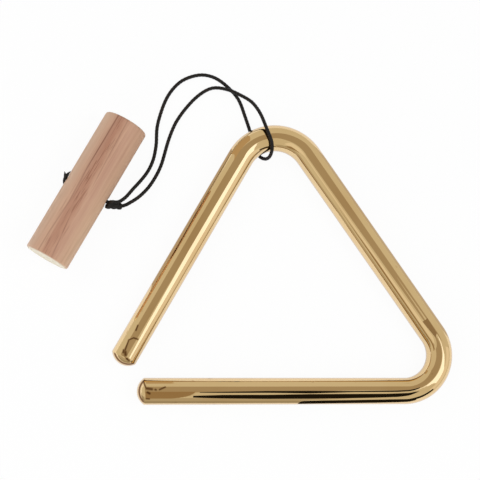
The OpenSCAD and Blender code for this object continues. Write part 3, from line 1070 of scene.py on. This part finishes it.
def build_flags():
    """The dark streaks along the bar and the bend: two low flags over them, and strips in front."""
    level_card(
        "thin_flag", FLAG_AT,
        [
            (-19.9, -60.2), (-9.8, -59.9), (10.3, -59.2), (30.4, -59.1), (50.6, -59.4), (70.7, -58.8),
            (75.5, -58.4), (78.5, -57.6), (80.8, -57), (81, -57.6), (78.8, -59), (75.5, -59.8),
            (70.7, -60.4), (50.6, -60.6), (30.5, -61.9), (10.3, -61.2), (-9.8, -61.2), (-19.9, -60.9),
        ],
        CARD_BLACK,
    )
    level_card(
        "wide_flag", FLAG_AT,
        [
            (-22.7, -64.9), (-9.7, -63.6), (10.5, -63.6), (30.6, -62.7), (50.7, -62.6), (65.8, -62.5),
            (75.6, -61.6), (79.2, -60.7), (81.5, -60.7), (79.7, -62.3), (76.1, -65.6), (71.8, -68.5),
            (62.1, -71), (52.4, -73.1), (32.7, -77.1), (12.2, -77.1), (-8.8, -73.1), (-22.4, -69),
        ],
        CARD_BLACK,
    )
    level_card("brown_flag", 100, [(-75, -66), (-12, -66), (-12, -250), (-75, -250)], (0.33, 0.25, 0.17))
    front = CARD_FRONT
    level_card(
        "floor_strip", FLOOR_CARD_AT,
        [(26, -70.2), (42, -72.9), (63, -76.4), (75, -81.3), (99.5, -104.4), (200, front), (77, front)],
        CARD_BLACK,
    )
    rising = [(77, 0), (200, 0), (350, 40), (380, 46), (380, 151), (350, 145), (200, 108), (130, 60)]
    card("rising_strip", [(x, front, z) for x, z in rising], CARD_BLACK)


def build_low_cards():
    """The floor and wall round the table as the rod mirrors them, duller than the floor that lights it."""
    front = CARD_FRONT
    dim_floor = [(-300, -77), (27.5, -77), (77, front), (-300, front)]
    level_card("dim_floor", FLOOR_CARD_AT, dim_floor, (0.37, 0.35, 0.33))
    dim_wall = [(-500, front, 0), (70, front, 0), (120, front, 150), (-500, front, 150)]
    card("dim_wall", dim_wall, (0.48, 0.46, 0.44))
    right_floor = [(103.5, -33.1), (400, 120), (300, 300), (44.6, 54.1)]
    level_card("right_floor", FLOOR_CARD_AT, right_floor, (0.58, 0.56, 0.58))
    left_floor = [(-8.2, 54.9), (-270, 250), (-320, 130), (-44.3, -8.8)]
    level_card("left_floor", FLOOR_CARD_AT, left_floor, (0.5, 0.45, 0.43))
    blotch = [(87, -37), (79.5, -30.9), (88.1, -24.8), (91.5, -32.3)]
    level_card("blotch", 20, blotch, (0.3, 0.24, 0.19))
    stand = [(-43.4, 81, 0), (-17.1, 102.7, 0), (-14.7, 101.6, 70), (-40, 81.5, 70)]
    card("warm_stand", stand, (0.5, 0.4, 0.3))


def build_stage():
    build_floor()
    build_world()
    area_lamp("key", (450, -150, 750), 2.2)
    area_lamp("left_fill", (-500, 250, 500), 1.1)
    area_lamp("front", (-400, -550, 350), 1.6)
    build_far_cards()
    build_flags()
    build_low_cards()


def dress(piece, body, material, slot, *nodes):
    """Gives a piece its material, hides the nodes that it stands for, and puts it on its body. A body of
    None leaves it unattached.
    """
    piece.data.materials.append(material)
    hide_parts(*nodes)
    if body:
        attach(piece, body)


def main():
    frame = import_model()
    bpy.context.scene.view_settings.view_transform = "Standard"

    joints = {j["name"]: j for j in frame["joints"]}
    handle_at = np.array(joints["handle_spin"]["pos_m"]) / MM
    rod_low, rod_high = (np.array(c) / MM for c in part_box("triangle_rod"))
    shape = rod_shape()
    corner = np.array((rod_high[0] - shape["right_reach"], rod_low[1] + ROD_R, 0))
    loop = shape["loop"] + corner

    hole_dir = turned(HANDLE_ANGLE - math.pi / 2)
    knot_dir = math.cos(KNOT_TILT) * hole_dir + math.sin(KNOT_TILT) * turned(HANDLE_ANGLE)
    mouth = handle_at + HANDLE_R * hole_dir
    stopper = handle_at - (HANDLE_R + STOPPER_GAP) * hole_dir
    rise = (CORD_D + STRAND_GAP) / 2

    total = rod_length(shape)
    brass, wood, thread = brass_material(total), wood_material(), cord_material()
    build_camera()

    route = cord_route(loop, mouth, knot_dir)
    cord = ply_tube("waxed_cord", route, CREST_D)
    dress(cord, None, thread, "waxed_cord", "strand_outer", "rod_loop", "strand_inner")
    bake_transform(cord)

    rod = build_rod(shape, corner)
    dress(rod, "triangle", brass, "brass", "triangle_rod")
    handle = build_handle(handle_at)
    dress(handle, "handle", wood, "handle_wood", "handle")
    for piece in build_gather_knot(mouth, knot_dir):
        dress(piece, "hole_cord", thread, "waxed_cord", "gather_knot")
    for name, height in (("upper_hole_strand", rise), ("lower_hole_strand", -rise)):
        strand = build_hole_strand(name, stopper, mouth, knot_dir, height)
        dress(strand, "hole_cord", thread, "waxed_cord", "hole_run")
    for piece in build_stopper(stopper, hole_dir):
        dress(piece, "hole_cord", thread, "waxed_cord", "stopper_knot")

    build_stage()


main()
